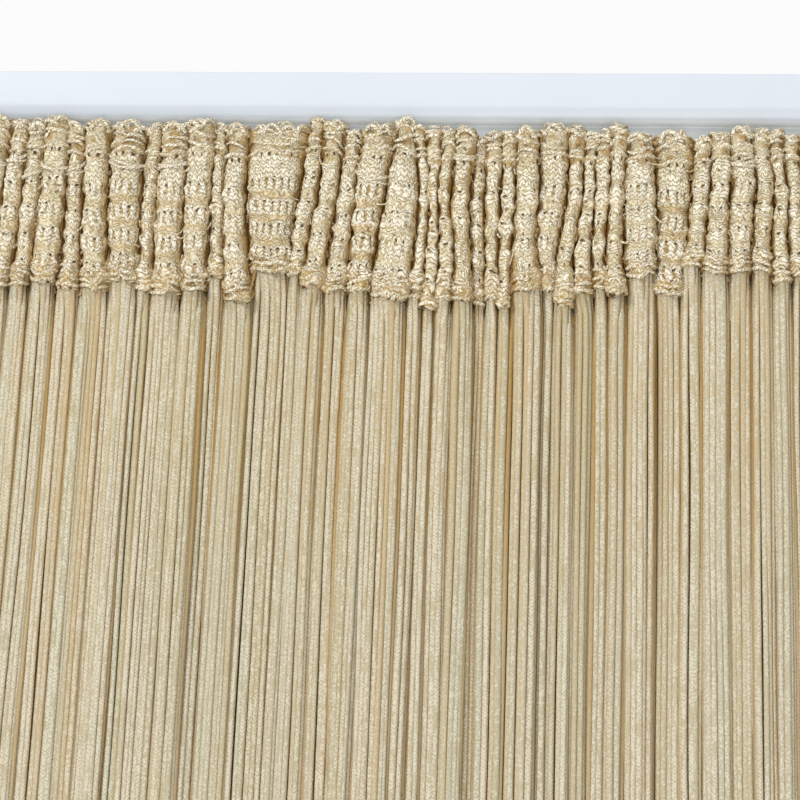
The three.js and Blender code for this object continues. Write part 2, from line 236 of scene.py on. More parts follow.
class Folds:
    """The gathered heading as a surface: cloth length across and a share of the height give a place in
    space. The middle third has the folds of the table, and the outer thirds have them mirrored."""

    def __init__(self):
        rows = np.concatenate([FOLD_ROWS[::-1], FOLD_ROWS, FOLD_ROWS[::-1]])
        rows[:, :3] *= HUNG_WIDTH / rows[:, :3].sum(0)
        self.count = len(rows)
        self.width = rows[:, :3].T
        reach, self.drop, self.hem = rows[:, 3], rows[:, 4], rows[:, 5]
        self.front = BACK_LINE - FOLD_DEPTH * reach
        self.start = -HUNG_WIDTH / 2 + np.cumsum(self.width, 1) - self.width
        is_flat = (self.width > ROUND_WIDTH).any(0)
        round_part = self.width * np.where(is_flat, 1 - LEAST_FLAT, 1)
        self.side = np.minimum(round_part, ROUND_WIDTH) / 2
        self.neck = np.clip(np.log(NECK / self.side) / np.log(0.5), 1, NECK_POWER)
        widths = np.pad(self.width, ((0, 0), (1, 1)), mode="edge")
        narrower = np.minimum(widths[:, :-1], widths[:, 1:])
        fronts = np.pad(self.front, 1, mode="edge")
        depth = FOLD_DEPTH * np.minimum(1, narrower / FULL_DEPTH_WIDTH)
        self.valley = np.minimum(BACK_LINE, (fronts[:-1] + fronts[1:]) / 2 + depth)

        # Half a fold: a curve whose direction swings as a sine, from the valley to the front
        swing = TURN_ANGLE * np.sin(np.pi * (np.arange(CURVE_STEPS) + 0.5) / CURVE_STEPS)
        self.half_t = np.linspace(0, 1, CURVE_STEPS + 1)
        self.half_x = np.concatenate([[0], np.cumsum(np.cos(swing))])
        self.half_y = np.concatenate([[0], np.cumsum(np.sin(swing))])
        self.half_x /= self.half_x[-1]
        self.half_y /= self.half_y[-1]

        rise = self.front - (self.valley[:, :-1] + self.valley[:, 1:]) / 2
        run_x = self.side[..., None] * self.half_x ** self.neck[..., None]
        run_y = rise[..., None] * self.half_y
        half = np.hypot(np.diff(run_x), np.diff(run_y)).sum(-1)
        flat_width = self.width - 2 * self.side
        self.flat = flat_width / (2 * half + flat_width)
        self.length = (2 * half + flat_width)[1]
        self.ends = np.cumsum(self.length)
        self.cloth_width = self.ends[-1]

    def locate(self, u):
        """Fold index and share within the fold at cloth length u from the left end."""
        u = np.clip(u, 0, self.cloth_width - 1e-6)
        k = np.searchsorted(self.ends, u, side="right")
        return k, (u - (self.ends[k] - self.length[k])) / self.length[k]

    def climb(self, n, k, share):
        """Share of the way up a fold's side on level n: 0 in its valleys, 1 all over its front."""
        side_share = (1 - self.flat[n, k]) / 2
        return np.clip(np.minimum(share, 1 - share) / side_share, 0, 1)

    def forward(self, u):
        """How far forward the cloth is in its own fold: 0 in a valley, 1 at a front."""
        return np.interp(self.climb(1, *self.locate(u)), self.half_t, self.half_y)

    def flank(self, u):
        """Where the cloth is across its own fold: 0 on the front, 1 in the valley on the right, -1 on the
        left, with a smooth step back to 0 at the two ends of the cloth, which lie open to the side."""
        k, share = self.locate(u)
        away = np.sign(share - 0.5) * (1 - self.climb(1, k, share))
        return away * ease(np.minimum(u, self.cloth_width - u) / (0.5 * self.length[0]))

    def edge(self, k, share, values, valley_drop):
        """Height of an edge: a fold's own value at its front, to the mean with its neighbour's in the
        valley, where the edge lies lower."""
        beside = values[np.clip(np.where(share < 0.5, k - 1, k + 1), 0, self.count - 1)]
        flat = self.flat[1, k]
        towards = ease(np.maximum(0, (np.abs(share - 0.5) * 2 - flat) / (1 - flat)))
        in_valley = (values[k] + beside) / 2 + valley_drop
        return HEADING_TOP - (values[k] * (1 - towards) + in_valley * towards)

    def level(self, n, k, share):
        """x and y on level n: the half-fold curve on the sides, its x raised to a power that narrows the
        valley, straight across on a flat front, and the whole fold bowed forward as a parabola."""
        flat = self.flat[n, k]
        rising = share <= 0.5
        side, width = self.side[n, k], self.width[n, k]
        t = self.climb(n, k, share)
        across = side * np.maximum(0, np.interp(t, self.half_t, self.half_x)) ** self.neck[n, k]
        valley = np.where(rising, self.valley[n, k], self.valley[n, k + 1])
        y = valley + (self.front[k] - valley) * np.interp(t, self.half_t, self.half_y)
        along = np.clip((share - (1 - flat) / 2) / np.maximum(flat, 1e-6), 0, 1)
        on_side = np.where(rising, across, width - across)
        local = np.where(t >= 1, side + (width - 2 * side) * along, on_side)
        bow = np.minimum(BOW_LEAST + BOW_SHARE * width, BOW_MOST)
        y = y - bow * (1 - (2 * local / width - 1) ** 2)
        return self.start[n, k] + local, y

    def place(self, u, s):
        """Middle of the cloth at length u and height share s: a parabola through the three levels, a slow
        sideways and forward wander that fades at the two edges, and a lean. In the middle of each fold both
        edges stand out by a parabola, and smooth noise makes the lower edge ragged."""
        u, s = np.broadcast_arrays(np.asarray(u, float), np.asarray(s, float))
        k, share = self.locate(u)
        weights = (2 * (s - 0.5) * (s - 1), 4 * s * (1 - s), 2 * s * (s - 0.5))
        x, y = sum(weight * np.array(self.level(n, k, share)) for n, weight in enumerate(weights))
        fold = k + share
        fading = 1 - (2 * s - 1) ** 4
        x = x + SWAY * fading * drift(fold * 0.45, s * 2.7, 11) + (2 * s - 1) * self.lean(fold)
        y = y + SWAY / 2 * fading * drift(fold * 0.7, s * 4.0, 12)
        dome = np.maximum(0, 1 - (4 * share - 2) ** 2)
        top = self.edge(k, share, self.drop, VALLEY_TOP_DROP) - TOP_LOWERED + TOP_DOME * dome
        bottom = self.edge(k, share, self.hem, VALLEY_HEM_DROP) - HEM_DOME * (dome - 0.3)
        bottom = bottom + RAGGED * (drift(u / 2.6, 0.5, 16) + 0.5 * drift(u / 1.1, 0.5, 17))
        z = top + (bottom - top) * s
        return np.stack([x, y, z], -1)

    def lean(self, fold):
        """How far a fold's lower end is set off sideways, and its upper end the other way, by smooth
        noise."""
        return LEAN * drift(fold * 0.3, 0.5, 13)

    def off_cloth(self, u, s, out):
        """Place at a distance out from the middle of the cloth, square to it, and that direction: the cross
        product of the cloth's directions down and along."""
        along = self.place(u + 0.2, s) - self.place(u - 0.2, s)
        down = self.place(u, s + 0.01) - self.place(u, s - 0.01)
        outward = unit(np.cross(down, along))
        return self.place(u, s) + outward * np.asarray(out, float)[..., None], outward


folds = Folds()
cloth_steps = np.linspace(0, folds.cloth_width, 40001)


def run_along(s):
    """Length run along the folds at height share s, up to each of the cloth steps."""
    path = folds.place(cloth_steps, s)[:, :2]
    return np.concatenate([[0], np.cumsum(np.linalg.norm(np.diff(path, axis=0), axis=1))])


# The folds swell here and shrink there, so what is spaced evenly on the cloth is placed by its run.
middle_run, hem_run = run_along(0.5), run_along(1.0)
wales = int(round(middle_run[-1] / WALE_PITCH))
wale_pitch = middle_run[-1] / wales


def new_object(name, data):
    """A new object in the scene."""
    made = bpy.data.objects.new(name, data)
    bpy.context.scene.collection.objects.link(made)
    return made


def new_piece(name, points, faces, material, uv=(), values=()):
    """Mesh object from arrays: points in millimetres, faces in groups of one size each, and the pattern
    coordinates of their corners in the same groups."""
    corners = np.concatenate([group.ravel() for group in faces]).astype(np.int32)
    sizes = np.concatenate([np.full(len(group), group.shape[1]) for group in faces])
    starts = np.concatenate([[0], np.cumsum(sizes)[:-1]]).astype(np.int32)
    mesh = bpy.data.meshes.new(name)
    mesh.vertices.add(len(points))
    mesh.vertices.foreach_set("co", (points * MM).astype(np.float32).ravel())
    mesh.loops.add(len(corners))
    mesh.loops.foreach_set("vertex_index", corners)
    mesh.polygons.add(len(sizes))
    mesh.polygons.foreach_set("loop_start", starts)
    mesh.update(calc_edges=True)
    mesh.polygons.foreach_set("use_smooth", np.full(len(sizes), True))
    if uv:
        layer = mesh.uv_layers.new(name="pattern")
        flat = np.concatenate([group.reshape(-1, 2) for group in uv])
        layer.data.foreach_set("uv", flat.astype(np.float32).ravel())
    for key, data in dict(values).items():
        attribute = mesh.attributes.new(key, "FLOAT", "POINT")
        attribute.data.foreach_set("value", np.asarray(data, np.float32).ravel())
    mesh.materials.append(material)
    piece = new_object(name, mesh)
    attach(piece, BODY)
    return piece


class Value:
    """A value inside a material: arithmetic on it adds the node that does the sum."""

    def __init__(self, nodes, socket):
        self.nodes = nodes
        self.socket = socket

    def __add__(self, other):
        return self.nodes.math("ADD", self, other)

    def __sub__(self, other):
        return self.nodes.math("SUBTRACT", self, other)

    def __rsub__(self, other):
        return self.nodes.math("SUBTRACT", other, self)

    def __mul__(self, other):
        return self.nodes.math("MULTIPLY", self, other)

    def __truediv__(self, other):
        return self.nodes.math("DIVIDE", self, other)

    def __abs__(self):
        return self.nodes.math("ABSOLUTE", self)


class Nodes:
    """Short ways to add nodes to a material or a surround."""

    def __init__(self, owner):
        owner.use_nodes = True
        self.owner = owner
        self.tree = owner.node_tree

    def put(self, socket, value):
        if isinstance(value, Value):
            self.tree.links.new(value.socket, socket)
        else:
            socket.default_value = value

    def add(self, kind, inputs=(), output=0, **settings):
        """One output of a new node, whose settings and inputs are given."""
        node = self.tree.nodes.new(kind)
        for key, value in settings.items():
            setattr(node, key, value)
        for key, value in dict(inputs).items():
            self.put(node.inputs[key], value)
        return Value(self, node.outputs[output])

    def math(self, operation, *values):
        return self.add("ShaderNodeMath", enumerate(values), operation=operation)

    def greater(self, a, b):
        return self.math("MAXIMUM", a, b)

    def part(self, value):
        """What is left of a value past the last whole number."""
        return self.math("FRACT", value)

    def mix(self, factor, a, b):
        return self.add("ShaderNodeMix", {0: factor, 6: a, 7: b}, 2, data_type="RGBA")

    def kept(self, name):
        """A value kept on a mesh's points."""
        return self.add("ShaderNodeAttribute", (), "Fac", attribute_name=name)

    def split(self, vector):
        first = self.add("ShaderNodeSeparateXYZ", {"Vector": vector})
        return [Value(self, socket) for socket in first.socket.node.outputs]

    def join(self, x, y, z=0.0):
        return self.add("ShaderNodeCombineXYZ", {"X": x, "Y": y, "Z": z})

    def pattern(self):
        """The two pattern coordinates of a piece, in millimetres along the yarn or cloth."""
        return self.split(self.add("ShaderNodeUVMap", uv_map="pattern"))[:2]

    def noise(self, vector, scale, detail=2.0, output="Fac"):
        inputs = {"Vector": vector, "Scale": scale, "Detail": detail}
        return self.add("ShaderNodeTexNoise", inputs, output)

    def swirl(self, vector, scale, detail=1.0):
        """Two noises, each from -0.5 to 0.5."""
        first, second, _ = self.split(self.noise(vector, scale, detail, "Color"))
        return first - 0.5, second - 0.5

    def objects(self):
        return self.add("ShaderNodeTexCoord", (), "Object")

    def step(self, value, low, high, least=0.0, most=1.0):
        """Smooth rise from the least at low to the most at high."""
        inputs = {"Value": value, "From Min": low, "From Max": high, "To Min": least, "To Max": most}
        return self.add("ShaderNodeMapRange", inputs, interpolation_type="SMOOTHSTEP")

    def near(self, place, centre, half, soft):
        """1 within half of the centre, falling to 0 over soft."""
        return 1.0 - self.step(abs(place - centre), half, half + soft)

    def arch(self, phase):
        """Half sine over each whole step of the phase."""
        return self.math("SINE", self.part(phase) * np.pi)

    def flanks(self, colour, flank):
        """Painted shade: the colour made golden on a fold's flanks, sooner on the right one, brown in the
        valley, and deep gold at its middle.
        """
        away = abs(flank)
        golden = self.greater(self.step(flank, 0.06, 0.17), self.step(away, 0.12, 0.22))
        colour = self.mix(golden * 0.6, colour, FLANK_SHADE_AND_HEM_GOLD)
        colour = self.mix(self.step(away, 0.18, 0.27) * 0.9, colour, SHADE_BROWN)
        return self.mix(self.step(away, 0.28, 0.4), colour, VALLEY_SHADE_GOLD)

    def finish(self, colour, height, depth, roughness, tint=(1, 1, 1, 1)):
        """The material with these on its shader; depth is the height of the relief, in metres."""
        shader = self.tree.nodes["Principled BSDF"]
        bump = self.add("ShaderNodeBump", {"Height": height, "Strength": 1.0, "Distance": depth})
        for key, value in (("Base Color", colour), ("Normal", bump), ("Roughness", roughness)):
            self.put(shader.inputs[key], value)
        shader.inputs["Specular Tint"].default_value = tint
        return self.owner


# Colours of the finishes, whose noise scales count waves to a metre
# partly each strand's own tone, partly a painted highlight on high places
WHITE_TONE_AND_HIGHLIGHT = (0.98, 0.92, 0.77, 1)
CREAM_YARN = (0.74, 0.66, 0.45, 1)
# partly the yarn's own tone, partly painted shade in low places
TAN_TONE_AND_SHADE = (0.67, 0.56, 0.34, 1)
# painted golden shade in sunken bands, grooves and between plies
SHADE_GOLD = (0.58, 0.40, 0.16, 1)
# painted brown shade in valleys, slits and gaps
SHADE_BROWN = (0.46, 0.28, 0.09, 1)
# painted shade in holes
HOLE_SHADE = (0.08, 0.045, 0.015, 1)
# painted golden shade deepest in the valleys
VALLEY_SHADE_GOLD = (0.66, 0.40, 0.13, 1)
# painted golden shade on the flanks, also laid on the lower edge
FLANK_SHADE_AND_HEM_GOLD = (0.54, 0.39, 0.17, 1)
# painted shade between the strands
STRAND_GAP_SHADE = (0.41, 0.30, 0.125, 1)
GLINT = (1.0, 0.86, 0.62, 1)
# Two hues of the strings: their faces, the painted shade on those that lie behind the others, and the
# deepest painted shade
FACES = (0.375, 0.375, 0.265, 1), (0.455, 0.355, 0.21, 1)
BEHIND_SHADE_AND_TONE = (0.44, 0.35, 0.18, 1), (0.48, 0.34, 0.16, 1)
SHADE = (0.38, 0.25, 0.09, 1), (0.35, 0.20, 0.055, 1)
PALE_FACE = (0.52, 0.50, 0.41, 1)
RAIL_WHITES = (0.645, 0.70, 0.77, 1), (0.675, 0.725, 0.79, 1)
# Painted shade on the lip, painted light on the underside and painted shade on the web take over in turn
# down the rail: from and to which height, in metres
RAIL_PAINTED_LIGHT_AND_SHADE = (
    (-0.0038, -0.0055, (0.585, 0.64, 0.70, 1)),
    (-0.0084, -0.0098, (0.90, 0.96, 1.0, 1)),
    (-0.0101, -0.0104, (0.56, 0.61, 0.62, 1)),
)
FLOOR_PALE = (0.82, 0.82, 0.81, 1)


def string_finish():
    """Chained cord: slanted stitches meet in a V along the middle, clearest on some of the cords, with
    irregular flecks; each cord has its own tone and hue. Raised stitches and flecks get a painted
    highlight, and low places and each cord's sides painted golden shade. Cords that hang deep in a fold get
    painted golden-brown shade, most strongly near the heading, where the fringe is closest packed."""
    n = Nodes(bpy.data.materials.new("string_yarn"))
    around, along = n.pattern()
    wobble = n.swirl(n.objects(), 700.0)[1]
    tone, hue, marked, deep = (n.kept(name) for name in ("tone", "hue", "marked", "deep"))
    from_middle = abs(n.math("COSINE", around * (2 * np.pi)))
    stitch = n.arch((along + wobble * 1.2) / CHAIN_STITCH + from_middle * 0.9)
    patches = n.noise(n.join(around * 3.0, along * 0.09, tone * 60.0), 1.0, 1.0)
    shown = (marked + 0.45) * n.step(patches, 0.3, 0.6)
    flecks = n.noise(n.join(around * 8.0, along * 1.1, tone * 80.0), 1.0, 1.0)
    height = stitch * (shown * 0.8) + flecks * 2.4
    face = n.mix(tone * 0.5, n.mix(hue, *FACES), PALE_FACE)
    # Painted highlight on the raised stitches and bright flecks.
    face = n.mix(n.step(height, 1.25, 1.9) * 0.36, face, WHITE_TONE_AND_HIGHLIGHT)
    # How strongly the painted shade shows: weaker further down the strings.
    painted_shade_strength = n.step(along, FADE_START, FADE_END, 1.0, 0.5)
    # Painted shade in the low places of the stitches and at each cord's sides.
    painted_groove_shade = n.greater((1.0 - n.step(height, 0.9, 1.4)) * 0.45, n.step(from_middle, 0.6, 0.97) * 0.62)
    colour = n.mix(painted_groove_shade * painted_shade_strength, face, SHADE_GOLD)
    # Painted shade on the strings that lie deep in a fold, and painted golden shade at its back.
    colour = n.mix(n.step(deep, 0.1, 0.6) * 0.7 * painted_shade_strength, colour, n.mix(hue, *BEHIND_SHADE_AND_TONE))
    dark = n.step(deep, 0.45, 0.85) * (flecks * 0.5 + 0.7)
    colour = n.mix(dark * painted_shade_strength, colour, n.mix(hue, *SHADE))
    colour = n.mix(n.step(deep, 0.95, 1.0), colour, VALLEY_SHADE_GOLD)
    return n.finish(colour, height, 0.00012, 0.45, GLINT)


def knit_finish():
    """Knit: columns of slanted stitch legs, each leg a rounded strand with a brightness of its own, and
    crosswise strands near the top edge and in the sunken bands. Raised bars with narrow slits between
    the columns take turns with the sunken bands, most clearly where a fold is spread broad; small
    holes lie at the head of each row of bars, and the lower edge is tangled. Slits, holes, gaps between
    strands and sunken bands get painted shade, high places a painted highlight near white, and the
    flanks and valleys painted golden and brown shade."""
    n = Nodes(bpy.data.materials.new("heading_knit"))
    u, v = n.pattern()
    where = n.objects()
    broad = n.kept("broad")
    shift, rise = n.swirl(where, 260.0, 3.0)
    fine_shift, fine_rise = n.swirl(where, 1000.0, 1.0)
    u1 = u + (shift * 2.4 + fine_shift * 0.9)
    v1 = v + (rise * 3.4 + fine_rise * 1.1)
    from_rib = abs(n.part(u1 / WALE_PITCH + 0.5) - 0.5)

    across = u1 / LEG_WIDTH
    slant = abs(n.part(across / 2.0) - 0.5)
    down = v1 / STITCH + slant * 1.2
    leg = n.math("POWER", n.arch(down) * (n.arch(across) * 0.55 + 0.45), 0.6)
    numbers = n.join(n.math("FLOOR", across), n.math("FLOOR", down))
    each = n.split(n.add("ShaderNodeTexWhiteNoise", {"Vector": numbers}, "Color"))[0]
    weft_down = (v1 + n.noise(where, 300.0, 0.0) * 6.0) / WEFT_PITCH
    weft_across = (u1 + n.math("FLOOR", weft_down) * 1.7) / WEFT_SPAN
    weft = n.arch(weft_down) * n.math("POWER", n.arch(weft_across), 0.3)
    patches = n.noise(where, 420.0, 1.0)

    repeat = n.part((v + rise * 1.4 - BAR_START) / BAR_REPEAT)
    below = n.step(v, BAR_START - 0.5, BAR_START)
    bars = n.near(repeat, BAR_MIDDLE, 0.17, 0.07) * below
    slit = bars * n.step(from_rib, 0.34, 0.44) * (broad * 0.7 + 0.3)
    sunk = n.near(repeat, SUNK_MIDDLE, 0.1, 0.12) * below
    crosswise = n.greater(sunk, 1.0 - n.step(v1, 7.0, 12.0)) * (broad * 0.5 + 0.5)
    curly = n.step(n.noise(where, 75.0, 1.0), 0.5, 0.56) * (1.0 - broad)
    crosswise = n.greater(crosswise, curly * 0.9)
    sunk = sunk * (broad * 0.7 + 0.3)
    hole_rows = n.greater(n.near(repeat, 0.03, 0.04, 0.04) * below, n.near(v, HOLE_ROW, 0.45, 0.35))
    hole = hole_rows * n.step(from_rib, 0.33, 0.41) * n.step(each, 0.25, 0.3)
    scattered = {"Vector": n.join(u1, v1), "Scale": 0.5}
    distance = n.add("ShaderNodeTexVoronoi", scattered, "Distance")
    chosen = n.split(Value(n, distance.socket.node.outputs["Color"]))[0]
    dot = (1.0 - n.step(distance, 0.15, 0.3)) * n.step(chosen, 0.6, 0.65)
    hole = n.greater(hole, dot * 0.6)

    strand = leg * (1.0 - crosswise * 0.8) + weft * (crosswise * 0.8)
    height = strand + n.noise(where, 1500.0) * 0.6
    height = height + bars * (1.0 - from_rib * 2.0) * 0.45
    height = height - n.greater(slit, hole) * 0.9

    # Colour by relief and random tone: painted shade in low places, a painted highlight near white on high
    # ones.
    tuned = height + (each - 0.5) * 0.45 + (patches - 0.5) * 1.5
    colour = n.mix(n.step(tuned, 0.2, 0.8), TAN_TONE_AND_SHADE, CREAM_YARN)
    colour = n.mix(n.step(tuned, 0.65, 1.4), colour, WHITE_TONE_AND_HIGHLIGHT)
    # Painted shade between the strands, and on the top rows.
    between = (1.0 - n.step(strand, 0.16, 0.74)) * (crosswise * 0.3 + 0.54)
    between = n.greater(between, (1.0 - n.step(v1, 8.0, 10.0)) * 0.35)
    colour = n.mix(between, colour, STRAND_GAP_SHADE)
    # Painted shade in the sunken bands, in patches.
    colour = n.mix(sunk * (n.step(patches, 0.35, 0.65) * 0.4 + 0.24), colour, SHADE_GOLD)
    # The colour of the flanks' painted shade, also laid in patches on the thick roll and along the lowest
    # rows.
    tangled = n.step(v1, HEM_START, HEM_START + 5) * n.step(n.noise(where, 260.0, 1.0), 0.5, 0.6)
    colour = n.mix(n.greater(tangled, n.step(v, 56.0, 57.8)) * 0.4, colour, FLANK_SHADE_AND_HEM_GOLD)
    # Painted shade in the gaps between strands at the hem, in patches near the top edge, and in the slits.
    gaps = n.step(v1, HEM_START - 2, HEM_START + 4) * (1.0 - n.step(strand, 0.3, 0.85))
    parted = (1.0 - n.step(v, 10.0, 14.0)) * n.step(n.noise(where, 190.0, 1.0), 0.54, 0.62)
    for share in (gaps * 0.65, parted * 0.7, slit * 0.75):
        colour = n.mix(share, colour, SHADE_BROWN)
    # Painted shade in the holes and scattered dots.
    colour = n.mix(hole * 0.95, colour, HOLE_SHADE)
    # Painted shade on the flanks and in the valleys.
    colour = n.flanks(colour, n.kept("flank") + shift * 0.07)
    return n.finish(colour, height, 0.00064, 0.42, GLINT)


def yarn_finish():
    """Plied yarn: slanted plies round a thick thread, with painted golden shade between them, painted shade
    where it lies back in a fold, and a painted highlight on the plies' tops.
    """
    n = Nodes(bpy.data.materials.new("thick_yarn"))
    around, along = n.pattern()
    where = n.objects()
    wobble = n.swirl(where, 700.0)[1]
    ply = n.arch(along / 1.7 + around * 2.0 + wobble * 2.2)
    height = ply + n.noise(where, 1700.0) * 0.5
    # Painted golden shade between the plies and a painted highlight on their tops, with each yarn's own
    # tone.
    colour = n.mix(n.step(height, 0.25, 0.8), SHADE_GOLD, CREAM_YARN)
    colour = n.mix(n.step(height + n.kept("tone") * 0.4, 0.8, 1.4), colour, WHITE_TONE_AND_HIGHLIGHT)
    # Painted shade on the flanks.
    colour = n.flanks(colour, n.kept("flank"))
    return n.finish(colour, height, 0.0004, 0.42, GLINT)


def rail_finish():
    """Smooth white with a faint unevenness in its gloss, painted shade on its lip and web, and painted
    light on its underside.
    """
    n = Nodes(bpy.data.materials.new("rail_white"))
    where = n.objects()
    colour = n.mix(n.noise(where, 35.0, 3.0), *RAIL_WHITES)
    # Painted shade on the lip and web, painted light on the underside.
    for high, low, tone in RAIL_PAINTED_LIGHT_AND_SHADE:
        colour = n.mix(n.step(n.split(where)[2], high, low), colour, tone)
    return n.finish(colour, n.noise(where, 2500.0), 0.00001, n.noise(where, 140.0) * 0.12 + 0.28)


def rows_apart(d):
    """Shares of bar and of sunken band at distance d below the top."""
    repeat = ((d - BAR_START) / BAR_REPEAT) % 1
    sunk = ease((repeat - BAR_SHARE) / 0.12) * (1 - ease((repeat - 0.88) / 0.12)) * (d > BAR_START)
    return np.where(d > BAR_START, 1 - sunk, 0), sunk


def heading_columns():
    """Cloth lengths of the band's columns of points: close together at the fronts and further apart in the
    valleys, by adding up the wanted density along the run and reading it back at whole steps."""
    density = 1 / (VALLEY_STEP + (FRONT_STEP - VALLEY_STEP) * ease(folds.forward(cloth_steps) / 0.5))
    total = np.concatenate([[0], np.cumsum((density[1:] + density[:-1]) / 2 * np.diff(middle_run))])
    return np.interp(np.linspace(0, total[-1], int(round(total[-1])) + 1), total, cloth_steps)


def openness(u):
    """How far a fold is spread flat at cloth length u, from 0 in a tight fold to 1 in a broad one."""
    k, _ = folds.locate(u)
    return ease((folds.width[0, k] - 8.0) / 5.0)


def knit_relief(u, run, d):
    """How far the band's front stands out from the middle of the cloth at distance d below its top: half
    the cloth, a cosine rib on each column, sunken bands, a cosine bulge and lumps of smooth noise that are
    lower on the flanks, and a thick roll at the lower edge."""
    bars, sunk = rows_apart(d)
    broad = openness(u)
    rib = RIB * (0.4 + 0.6 * bars * broad) * (0.5 + 0.5 * np.cos(2 * np.pi * run / wale_pitch))
    phase = (d - BAR_START) / BAR_REPEAT - BAR_MIDDLE
    bulge = BULGE * np.cos(2 * np.pi * phase) * ease((d - BAR_START + 4) / 4)
    fine = 0.95 * drift(run / 1.6, d / 1.7, 21) + 1.1 * drift(run / 3.3, d / 3.1, 24)
    coarse = 0.8 * drift(run / 9, d / 6, 22)
    lump = bulge + LUMP * (fine + coarse) * (1 + ease((d - HEM_START + 1) / 6))
    hem = HEM_SWELL * ease((d - HEM_START) / 3) - HEM_DRAWN_IN * ease((d - HEM_START - 5.5) / 3.5) ** 2
    faced = 0.4 + 0.6 * ease((folds.forward(u) - 0.55) / 0.35)
    return CLOTH / 2 + rib + faced * (lump - BAND_SINK * sunk * (0.5 + 0.5 * broad)) + hem


def ring_faces(index):
    """Faces between the rings of points along each tube, with a flat cap at both ends."""
    turned = np.roll(index, -1, axis=2)
    quads = np.stack([index[:, :-1], turned[:, :-1], turned[:, 1:], index[:, 1:]], -1)
    return [quads.reshape(-1, 4), np.concatenate([index[:, 0, ::-1], index[:, -1]])]


def heading_piece(name, u, material):
    """Part of the knitted band: the front is the folded surface moved out by the knit's relief, and the
    back, of fewer rows, is the plain surface moved in by half the cloth."""
    grid_s, grid_u = np.meshgrid(np.linspace(0, 1, BAND_ROWS), u, indexing="ij")
    run = np.interp(grid_u, cloth_steps, middle_run)
    d = grid_s * ROW_SPAN
    middle = folds.place(grid_u, grid_s)
    normal = unit(np.cross(np.gradient(middle, axis=0), np.gradient(middle, axis=1)))
    front = middle + normal * knit_relief(grid_u, run, d)[..., None]
    back_rows = np.arange(0, BAND_ROWS, BACK_ROW_STEP)
    back = middle[back_rows] - normal[back_rows] * (CLOTH / 2)
    points = np.concatenate([front.reshape(-1, 3), back.reshape(-1, 3)])

    # Down the front and up the back, each column is a ring. The first corner sets the diagonal.
    index = np.arange(len(points)).reshape(-1, len(u))
    rings = np.concatenate([index[:BAND_ROWS], index[:BAND_ROWS - 1:-1]]).T
    quads, ends = ring_faces(rings[None])
    faces = [np.roll(quads, -1, 1), ends]

    pattern = np.stack([run, d], -1)
    pattern = np.concatenate([pattern.reshape(-1, 2), pattern[back_rows].reshape(-1, 2)])
    flank = folds.flank(u)
    # The back's small flank value keeps most of the painted flank shade off it.
    from_behind = 0.14 * np.sign(flank) * (1 - np.abs(flank))
    values = {
        "flank": np.concatenate([np.tile(flank, BAND_ROWS), np.tile(from_behind, len(back_rows))]),
        "broad": np.tile(openness(u), len(index)),
    }
    uv = [pattern[group] for group in faces]
    return new_piece(name, points, faces, material, uv, values)


def tubes(paths, half_width, half_thickness, side_axis, sides):
    """Closed tubes on many paths at once: at each path point a ring of points on an ellipse, set across
    the path with side_axis as its wide direction."""
    count, steps = paths.shape[:2]
    run = unit(np.gradient(paths, axis=1))
    side = unit(side_axis - run * np.sum(side_axis * run, -1, keepdims=True))
    out = np.cross(run, side)
    angle = 2 * np.pi * np.arange(sides) / sides
    wide = np.cos(angle)[:, None] * half_width[..., None, None]
    thick = np.sin(angle)[:, None] * half_thickness[..., None, None]
    ring = side[:, :, None] * wide + out[:, :, None] * thick
    points = (paths[:, :, None] + ring).reshape(-1, 3)
    faces = ring_faces(np.arange(len(points)).reshape(count, steps, sides))
    stretch = np.linalg.norm(np.diff(paths, axis=1), axis=-1)
    length = np.concatenate([np.zeros((count, 1)), np.cumsum(stretch, 1)], 1)
    shape = (count, steps - 1, sides)
    u0 = np.broadcast_to(np.arange(sides) / sides, shape)
    u1 = u0 + 1 / sides
    v0, v1 = (np.broadcast_to(ends[:, :, None], shape) for ends in (length[:, :-1], length[:, 1:]))
    corners = [np.stack(pair, -1) for pair in ((u0, v0), (u1, v0), (u1, v1), (u0, v1))]
    uv = [np.stack(corners, -2).reshape(-1, 4, 2), np.zeros((len(faces[1]), sides, 2))]
    return points, faces, uv


def yarn_piece(name, paths, radius, side_axis, flank, tone, material):
    """Round yarns on many paths. Each point's place across its fold, which sets the finish's painted flank
    shade, and each yarn's tone are kept for the finish."""
    half = np.broadcast_to(radius, paths.shape[:2])
    points, faces, uv = tubes(paths, half, half, side_axis, YARN_SIDES)
    flank = np.broadcast_to(flank, paths.shape[:2]).ravel()
    values = {"flank": np.repeat(flank, YARN_SIDES), "tone": np.repeat(tone, paths.shape[1] * YARN_SIDES)}
    return new_piece(name, points, faces, material, uv, values)


def rope_piece(name, rows, first, material):
    """Thick crosswise yarns, numbered from the first: each follows the folded cloth at its own distance
    below the top, half sunk in it, with a smooth wander up and down, a smaller ripple, and a radius that
    swells and thins."""
    u = np.interp(np.linspace(0.6, middle_run[-1] - 0.6, ROPE_STEPS), middle_run, cloth_steps)
    u = np.tile(u, (len(rows), 1))
    number = first + np.arange(len(rows))[:, None]
    place, radius, wander = np.array(rows).T[:, :, None]
    ripple = 0.4 * wander * drift(u / 1.9, number * 3.3, 52)
    d = place + wander * drift(u / 5.5, number * 3.3, 51) + ripple
    swell = radius * (1 + 0.4 * drift(u / 1.7, number * 2.1, 53))
    paths, facing = folds.off_cloth(u, np.clip(d / ROW_SPAN, -0.05, 1.01), CLOTH / 2 + 0.4 * swell)
    tone = np.random.default_rng(54).uniform(0, 1, len(rows))
    return yarn_piece(name, paths, swell, facing, folds.flank(u), tone, material)


